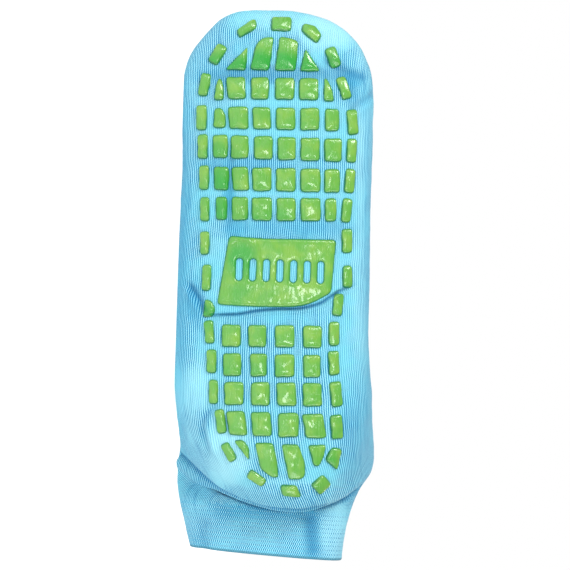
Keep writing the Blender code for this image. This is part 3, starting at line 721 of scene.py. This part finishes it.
def pad_mesh(sole, corners, seed):
    """Points, faces, how clear each point is of the darker rim and how much painted shade gives it a
    deeper green (as shares), of one soft pad on the sole.
    """
    middle, reach, rings = pad_rings(corners, seed)
    seat, _ = sole_point(sole, *middle)
    around = [sole_point(sole, *point)[1] for point in rings[0][0]]
    normal = np.mean(around, axis=0)
    normal /= norm(normal)
    count = len(rings[0][0])
    points = [sole_point(sole, *point)[0] - normal * PAD_ROOT * MM for point in rings[0][0]]
    rim_clearness = [0.0] * count
    for ring, depths in rings:
        away = ring - middle
        far = norm(away, axis=1)
        crown = 1 - (far / reach[:, 0]) ** 2
        # Painted shade: the rim darkens more towards the pad's low heel corner
        shade = RIM_SHADE - RIM_SHADE_SWING * away.sum(axis=1) / far / math.sqrt(2)
        for point, depth, bulge, dark in zip(ring, depths, crown, shade):
            lump = noise.noise(Vector((*point / PAD_LUMP_SIZE, seed + 9))) * PAD_LUMP
            height = (PAD_THICKNESS + lump) * shoulder(depth) + PAD_CROWN * bulge
            points.append(sole_point(sole, *point)[0] + normal * height * MM)
            rim_clearness.append(1 - dark * math.exp(-((depth / RIM_WIDTH) ** 2)))
    points.append(seat + normal * (PAD_THICKNESS + PAD_CROWN) * MM)
    points.append(seat - normal * PAD_ROOT * MM)
    rim_clearness += [1.0, 0.0]
    plans = np.concatenate([rings[0][0]] + [ring for ring, _ in rings] + [[middle, middle]])
    toward = (plans - middle).sum(axis=1) / (reach.mean() * math.sqrt(2))
    # Painted shade: deeper green in the spots and towards each pad's low heel corner
    green_shades = list(np.clip(spotted(plans, GREEN_SHADE_SPOTS) - PAD_SHADING * toward, 0, 1))
    faces = []
    top, bottom, last = len(points) - 2, len(points) - 1, len(rings) * count
    for near in range(0, last, count):
        far = near + count
        for step in range(count):
            after = (step + 1) % count
            faces.append((near + step, near + after, far + after, far + step))
    for step in range(count):
        after = (step + 1) % count
        faces.append((last + step, last + after, top))
        faces.append((step, bottom, after))
    return points, faces, rim_clearness, green_shades


def add_pads(name, pads, sole, finish):
    """One object of soft pads, each seated on the sole; pads are lists of plan corners."""
    points, faces, rim_clearness, green_shades = [], [], [], []
    for number, corners in enumerate(pads):
        pad_points, pad_faces, pad_rim_clearness, pad_green_shades = pad_mesh(sole, corners, number * 1.7)
        start = len(points)
        points += pad_points
        rim_clearness += pad_rim_clearness
        green_shades += pad_green_shades
        faces += [tuple(start + corner for corner in face) for face in pad_faces]
    made = add_mesh(name, points, faces, finish)
    keep_values(made, "clear_of_rim_shade", rim_clearness)
    # Painted shade, as a share of deeper green
    keep_values(made, "deep", green_shades)
    outward(made)
    return made


def keep_values(made, name, values):
    """Stores a number for each point of a mesh under a name, for its material."""
    layer = made.data.attributes.new(name, "FLOAT", "POINT")
    layer.data.foreach_set("value", np.array(values, dtype=np.float32))


def outline_depth(points, outline):
    """How deep each plan point lies inside a closed outline, negative outside it."""
    distance = np.full(len(points), np.inf)
    inside = np.zeros(len(points), dtype=bool)
    for start, end in zip(outline, np.roll(outline, -1, axis=0)):
        edge = end - start
        t = np.clip((points - start) @ edge / (edge @ edge), 0, 1)
        distance = np.minimum(distance, norm(points - start - t[:, None] * edge, axis=1))
        crosses = (start[0] > points[:, 0]) != (end[0] > points[:, 0])
        rate = (end[1] - start[1]) / (end[0] - start[0]) if end[0] != start[0] else 0.0
        inside ^= crosses & (points[:, 1] < start[1] + (points[:, 0] - start[0]) * rate)
    return np.where(inside, distance, -distance)


def panel_edges(count):
    """Points along the panel's toe edge and heel edge, from the low side to the high side."""
    return (
        smooth_points(np.array(edge), np.linspace(0, len(edge) - 1, count))
        for edge in (PANEL_TOE_EDGE, PANEL_HEEL_EDGE)
    )


def panel_outline():
    """The panel's closed outline on the plan, with its four corners rounded."""
    toe, heel = panel_edges(16)
    outline = np.concatenate([toe, heel[::-1]])
    made = []
    for number, point in enumerate(outline):
        if number in (0, len(toe) - 1, len(toe), len(outline) - 1):
            after = outline[(number + 1) % len(outline)]
            made += corner_arc(outline[number - 1], point, after, PANEL_CORNER, 0.95, 6)
        else:
            made.append(point)
    return np.array(made)


def slot_depth(points):
    """How far outside the nearest slot each plan point lies, negative inside it."""
    toe, heel = panel_edges(13)
    aside = (toe[-1] - toe[0]) / norm(toe[-1] - toe[0])
    ahead = np.array([aside[1], -aside[0]])
    offset = points - (toe.mean(axis=0) + heel.mean(axis=0)) / 2
    way, side = offset @ ahead, offset @ aside
    outermost = (SLOT_COUNT - 1) / 2
    side = side - SLOT_PITCH * np.clip(np.round(side / SLOT_PITCH), -outermost, outermost)
    straight = (SLOT_LENGTH - SLOT_WIDTH) / 2
    return np.hypot(way - np.clip(way, -straight, straight), side) - SLOT_WIDTH / 2


def add_panel(sole, finish):
    """The large soft pad across the arch, with its row of plain slots, as one closed solid."""
    outline = panel_outline()
    low, high = outline.min(axis=0) - 1, outline.max(axis=0) + 1
    alongs = np.arange(low[0], high[0], PANEL_CELL)
    acrosses = np.arange(low[1], high[1], PANEL_CELL)
    grid = np.stack(np.meshgrid(alongs, acrosses, indexing="ij"), axis=2)
    flat = grid.reshape(-1, 2)
    depth = np.minimum(outline_depth(flat, outline), slot_depth(flat))
    lumps = np.array([noise.noise(Vector((*point / PANEL_LUMP_SIZE, 4.2))) for point in flat])
    crown = (PANEL_CROWN + PANEL_LUMP * lumps) * ease(depth / PANEL_RISE)
    height = PAD_THICKNESS * shoulder(depth) + crown
    height = np.where(depth < 0, np.maximum(depth * PANEL_DIP, -1), height)
    used = (depth > -PANEL_CELL * PANEL_MARGIN).reshape(grid.shape[:2])
    number = np.full(used.shape, -1)
    number[used] = np.arange(used.sum())
    seats = np.array([sole_point(sole, *place)[0] for place in flat[used.ravel()]])
    out = np.array([0, -MM, 0])
    points = np.concatenate([seats + height[used.ravel(), None] * out, seats - PANEL_ROOT * out])
    faces = grid_faces(number)
    made = add_mesh("centre_panel", points, closed(faces, len(seats)), finish)
    # Its rim darkens, partly painted shade
    keep_values(made, "clear_of_rim_shade", np.tile(np.where(depth > 0, shoulder(depth), 0)[used.ravel()], 2))
    # Painted shade: deeper green in the spots
    keep_values(made, "deep", np.tile(spotted(flat[used.ravel()], GREEN_SHADE_SPOTS), 2))
    outward(made)
    return made


def grid_faces(number):
    """Square faces of a grid of point numbers, where -1 is no point."""
    near, far = number[:-1], number[1:]
    faces = np.stack([near[:, :-1], far[:, :-1], far[:, 1:], near[:, 1:]], axis=2).reshape(-1, 4)
    return [tuple(int(corner) for corner in face) for face in faces[faces.min(axis=1) >= 0]]


def closed(faces, layer):
    """A sheet's faces with a second sheet layer points on, and walls between their rims."""
    edges = dict.fromkeys(edge for face in faces for edge in zip(face, face[1:] + face[:1]))
    rim = [(a, b) for a, b in edges if (b, a) not in edges]
    under = [tuple(layer + corner for corner in reversed(face)) for face in faces]
    return faces + under + [(b, a, a + layer, b + layer) for a, b in rim]


def new_material(name):
    """A new node material with its shader and its node tree."""
    made = bpy.data.materials.new(name)
    made.use_nodes = True
    return made, made.node_tree, made.node_tree.nodes["Principled BSDF"]


def set_inputs(tree, node, inputs):
    """Sets a node's own sockets to numbers or colours, or links them to other sockets."""
    for key, value in inputs.items():
        if isinstance(value, bpy.types.NodeSocket):
            tree.links.new(value, node.inputs[key])
        else:
            node.inputs[key].default_value = value


def new_node(tree, kind, *values, **inputs):
    """A new node with its first sockets set to values, and others by their names."""
    made = tree.nodes.new(kind)
    set_inputs(tree, made, dict(enumerate(values)))
    set_inputs(tree, made, inputs)
    return made


def maths(tree, operation, *values):
    """The result of a Math node on numbers or sockets."""
    made = new_node(tree, "ShaderNodeMath", *values)
    made.operation = operation
    return made.outputs[0]


def times(tree, one, other):
    """The product of two numbers or sockets."""
    return maths(tree, "MULTIPLY", one, other)


def mixed(tree, share, one, other):
    """A colour mixed from one to another by a share."""
    made = new_node(tree, "ShaderNodeMix", share)
    made.data_type = "RGBA"
    set_inputs(tree, made, {6: one, 7: other})
    return made.outputs[2]


def spread(tree, value, low, high, to_low=0.0, to_high=1.0):
    """A value eased from one range to another."""
    made = new_node(tree, "ShaderNodeMapRange", value, low, high, to_low, to_high)
    made.interpolation_type = "SMOOTHSTEP"
    return made.outputs[0]


def cloudy(tree, vector, scale, detail=2.0, stretch=(1, 1, 1)):
    """Noise between 0 and 1, finer with scale, stretched along the axes."""
    place = new_node(tree, "ShaderNodeMapping", Vector=vector, Scale=stretch).outputs[0]
    made = new_node(tree, "ShaderNodeTexNoise", Vector=place, Scale=scale, Detail=detail)
    return made.outputs[0]


def relief_node(tree, height, distance, strength=1.0, under=None):
    """A bump of a height of 0 to 1, so many metres high, over another bump if one is given."""
    made = new_node(tree, "ShaderNodeBump", Strength=strength, Distance=distance, Height=height)
    if under is not None:
        tree.links.new(under, made.inputs["Normal"])
    return made.outputs[0]


def attribute(tree, name):
    """A number kept on the mesh's points."""
    made = tree.nodes.new("ShaderNodeAttribute")
    made.attribute_name = name
    return made.outputs["Fac"]


def added(tree, *values):
    """The sum of several numbers or sockets."""
    total = values[0]
    for value in values[1:]:
        total = maths(tree, "ADD", total, value)
    return total


def wave(tree, value, period=1.0):
    """A cosine of a value, with peaks at every whole period."""
    return maths(tree, "COSINE", times(tree, value, 2 * math.pi / period))


def blended(tree, share, one, other):
    """A number mixed from one to another by a share."""
    made = new_node(tree, "ShaderNodeMix", share)
    set_inputs(tree, made, {2: one, 3: other})
    return made.outputs[0]


KNIT_COLOUR = (0.18, 0.63, 0.765, 1)
# Also the colour of painted light where the pale spots lie
KNIT_PALE = (0.375, 0.765, 0.865, 1)
KNIT_DEEP = (0.008, 0.19, 0.40, 1)
# The deeper blue of painted shade
KNIT_PAINTED_SHADE = (0.05, 0.43, 0.65, 1)
# The deeper blue of painted shade in the folds' troughs
KNIT_CREASE_SHADE = (0.008, 0.15, 0.34, 1)
# Painted shade for the hem's roll and the sock's inside
KNIT_HEM_SHADE = (0.05, 0.20, 0.28, 1)
LOOP_LENGTH = 0.8
EYE_LENGTH = 1.1
CUFF_WALES = 0.8  # how many columns the cuff has for each of the foot's


def knit_material():
    """Sky-blue cotton knit: columns of small loops, and a fine bird's-eye pattern on the cuff."""
    made, tree, shader = new_material("sky_blue_knit")
    uv = tree.nodes.new("ShaderNodeUVMap")
    uv.uv_map = "knit"
    split = new_node(tree, "ShaderNodeSeparateXYZ", uv.outputs[0])
    where = tree.nodes.new("ShaderNodeTexCoord").outputs["Object"]
    wale = added(tree, split.outputs[0], times(tree, cloudy(tree, where, 110, 1), 1.2))
    course = split.outputs[1]
    striped, pale, painted_shade = (attribute(tree, name) for name in ("striped", "pale", "painted_shade"))

    ridge = wave(tree, wale)
    across = maths(tree, "ABSOLUTE", maths(tree, "SUBTRACT", maths(tree, "FRACT", wale), 0.5))
    loop = wave(tree, added(tree, course, times(tree, across, LOOP_LENGTH)), LOOP_LENGTH)
    plain = added(tree, times(tree, ridge, 0.36), times(tree, loop, 0.14))
    rib = wave(tree, times(tree, wale, CUFF_WALES))
    eyes = times(tree, rib, wave(tree, course, 2 * EYE_LENGTH))
    dots = added(tree, times(tree, rib, 0.12), times(tree, eyes, 0.36))
    cuff = spread(tree, course, CUFF_REACH + 1.5, CUFF_REACH - 1.5)
    height = added(tree, blended(tree, cuff, plain, dots), 0.5)

    fuzz = cloudy(tree, where, 1500, 3)
    normal = relief_node(tree, fuzz, 0.0003, 0.3)
    normal = relief_node(tree, height, 0.0005, 0.6, normal)

    columns = (times(tree, wale, 0.45), times(tree, course, 0.05))
    streak = cloudy(tree, new_node(tree, "ShaderNodeCombineXYZ", *columns).outputs[0], 1, 2)
    patch = cloudy(tree, where, 70, 3)
    contrast = added(tree, 0.5, times(tree, striped, 1.1), times(tree, cuff, 1.3))
    contrast = times(tree, contrast, spread(tree, patch, 0.3, 0.7, 0.6, 1.3))
    contrast = times(tree, contrast, spread(tree, pale, 0, 1, 1, 0.45))
    gaps = times(tree, spread(tree, height, 0.66, 0.2), contrast)
    runs = added(tree, 0.04, times(tree, striped, 0.3))
    gaps = added(tree, gaps, times(tree, spread(tree, streak, 0.5, 0.75), runs))
    crests = times(tree, spread(tree, height, 0.55, 0.9), contrast)
    cloudier = spread(tree, patch, 0.4, 0.7, 0, 0.25)
    # Partly painted light: the pale spots lighten the knit
    lighter = added(tree, times(tree, pale, 0.8), crests, cloudier)
    lighter.node.use_clamp = True
    colour = mixed(tree, lighter, KNIT_COLOUR, KNIT_PALE)
    # Painted shade: the spots turn the knit a deeper blue
    colour = mixed(tree, times(tree, painted_shade, 0.8), colour, KNIT_PAINTED_SHADE)
    colour = mixed(tree, gaps, colour, KNIT_DEEP)
    # Painted shade: the knit turns a deeper blue in the folds' troughs
    colour = mixed(tree, times(tree, attribute(tree, "crease_shade"), 0.8), colour, KNIT_CREASE_SHADE)
    # Painted shade: the last millimetre before the hem, the roll and the inside turn dark grey-blue
    colour = mixed(tree, spread(tree, course, 1.0, 0.3, 0, 0.7), colour, KNIT_HEM_SHADE)
    set_inputs(tree, shader, {
        "Base Color": colour, "Normal": normal, "Roughness": 0.85, "Specular IOR Level": 0.2,
        "Sheen Weight": 0.15, "Sheen Roughness": 0.5, "Sheen Tint": (0.75, 0.92, 1, 1),
    })
    return made


GRIP_COLOUR = (0.105, 0.36, 0.04, 1)
GRIP_YELLOW = (0.175, 0.40, 0.045, 1)
# The deeper green of painted shade
GRIP_GREEN_SHADE = (0.015, 0.31, 0.025, 1)
GRIP_RIM_AND_SHADE = (0.012, 0.18, 0.035, 1)


def grip_material():
    """Soft glossy green print, darker at its rim where the knit shows through and painted shade lies,
    deeper green in painted shade, with the knit's columns showing through.
    """
    made, tree, shader = new_material("green_grip")
    where = tree.nodes.new("ShaderNodeTexCoord").outputs["Object"]
    streaks = cloudy(tree, where, 1, 2, (110, 110, 1050))
    lumps = cloudy(tree, where, 330, 2)
    normal = relief_node(tree, streaks, 0.0007, 0.75)
    normal = relief_node(tree, lumps, 0.0008, 0.25, normal)
    body = mixed(tree, spread(tree, cloudy(tree, where, 130, 2), 0.4, 0.7), GRIP_COLOUR, GRIP_YELLOW)
    # Painted shade: a deeper green where the spots lie
    body = mixed(tree, attribute(tree, "deep"), body, GRIP_GREEN_SHADE)
    # Partly painted shade: the darker rim
    rim = spread(tree, attribute(tree, "clear_of_rim_shade"), 0.3, 1.0, 1.0, 0.0)
    set_inputs(tree, shader, {
        "Base Color": mixed(tree, rim, body, GRIP_RIM_AND_SHADE), "Normal": normal,
        "Roughness": 0.22, "Coat Weight": 0.7, "Coat Roughness": 0.12,
    })
    return made


WORLD_LIGHT = 0.48
FLOOR_GLOW = 0.9

# Soft square lights: name, place, size, power and the point that each is aimed at
LIGHTS = (
    ("key", (-0.8, -0.95, 1.0), 0.45, 13, (0, 0, 0.045)),
    ("edge", (-1.0, -1.2, 0.3), 0.25, 3, (0, 0, 0.045)),
    ("second", (0.2, -1.4, 0.24), 0.22, 2.4, (0, 0, 0.045)),
    ("heel_side", (0.95, -0.8, 0.25), 0.5, 3.6, (0.1, 0, 0.04)),
    ("behind", (0.5, 1.1, 0.75), 0.7, 7, (0, 0, 0.045)),
)


def add_floor():
    """A wide pale floor for the sock to lie on, a little bright of itself like a lit table."""
    half = 3
    points = [(-half, -half, 0), (half, -half, 0), (half, half, 0), (-half, half, 0)]
    made, tree, shader = new_material("pale_floor")
    set_inputs(tree, shader, {
        "Base Color": (0.3, 0.3, 0.3, 1), "Roughness": 0.8,
        "Emission Color": (1, 1, 1, 1), "Emission Strength": FLOOR_GLOW,
    })
    add_mesh("floor", points, [(0, 1, 2, 3)], made)


def add_light(name, place, size, power, aim):
    """A soft square light at a place, aimed at a point."""
    light = bpy.data.lights.new(name, "AREA")
    light.size = size
    light.energy = power
    made = bpy.data.objects.new(name, light)
    made.location = place
    made.rotation_euler = (Vector(aim) - Vector(place)).to_track_quat("-Z", "Y").to_euler()
    bpy.context.scene.collection.objects.link(made)


def light_scene():
    """Plain soft studio light: an even world, white behind the sock, and a few soft lights."""
    world = bpy.data.worlds.new("studio")
    world.use_nodes = True
    tree = world.node_tree
    seen = tree.nodes.new("ShaderNodeLightPath").outputs["Is Camera Ray"]
    light = blended(tree, seen, WORLD_LIGHT, 1.0)
    set_inputs(tree, tree.nodes["Background"], {"Color": (1, 1, 1, 1), "Strength": light})
    bpy.context.scene.world = world
    bpy.context.scene.view_settings.view_transform = "Standard"
    for light in LIGHTS:
        add_light(*light)


VIEW_ALONG, VIEW_ACROSS = 113.5, 54.0
VIEW_DISTANCE = 1.4
VIEW_HEIGHT = 0.285
SENSOR = 36.0


def add_camera():
    """The camera looks straight at the sole, rolled so that the toe is up in the picture."""
    turn = math.atan(FLOOR_SLOPE)
    right = Vector((-math.sin(turn), 0, math.cos(turn)))
    up = Vector((-math.cos(turn), 0, -math.sin(turn)))
    back = right.cross(up)
    place = Vector(to_scene(np.array([VIEW_ALONG, VIEW_ACROSS, 0.0]))) + back * VIEW_DISTANCE
    lens = bpy.data.cameras.new("camera")
    lens.sensor_width = SENSOR
    lens.lens = SENSOR * VIEW_DISTANCE / VIEW_HEIGHT
    made = bpy.data.objects.new("camera", lens)
    made.matrix_world = Matrix.Translation(place) @ Matrix((right, up, back)).transposed().to_4x4()
    bpy.context.scene.collection.objects.link(made)
    bpy.context.scene.camera = made


def main():
    """Builds the scene."""
    add_camera()
    light_scene()
    add_floor()
    knit, grip = knit_material(), grip_material()
    named = dict(named_pads(FOREFOOT_ROWS, TOE_BLOCKS))
    heel = dict(named_pads(HEEL_ROWS, HEEL_BLOCKS))
    border = [block_corners(*pad) for pad in BORDER_PADS]
    border += BORDER_BLOCKS.values()
    pads = [*named.values(), *heel.values(), *border]
    sock = add_sock([rounded(corners, PAD_CORNER) for corners in pads] + [panel_outline()], knit)
    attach(sock, "root")
    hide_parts("knitted_sock")
    mesh = sock.data
    faces = [list(face.vertices) for face in mesh.polygons]
    sole = BVHTree.FromPolygons([point.co for point in mesh.vertices], faces)
    for name, pads, nodes in (
        ("forefoot_pads", named.values(), named),
        ("heel_pads", heel.values(), heel),
        ("border_pads", border, ()),
    ):
        made = add_pads(name, pads, sole, grip)
        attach(made, "root")
        if nodes:
            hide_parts(*nodes)
    panel = add_panel(sole, grip)
    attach(panel, "root")
    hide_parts("grip_panel")


main()
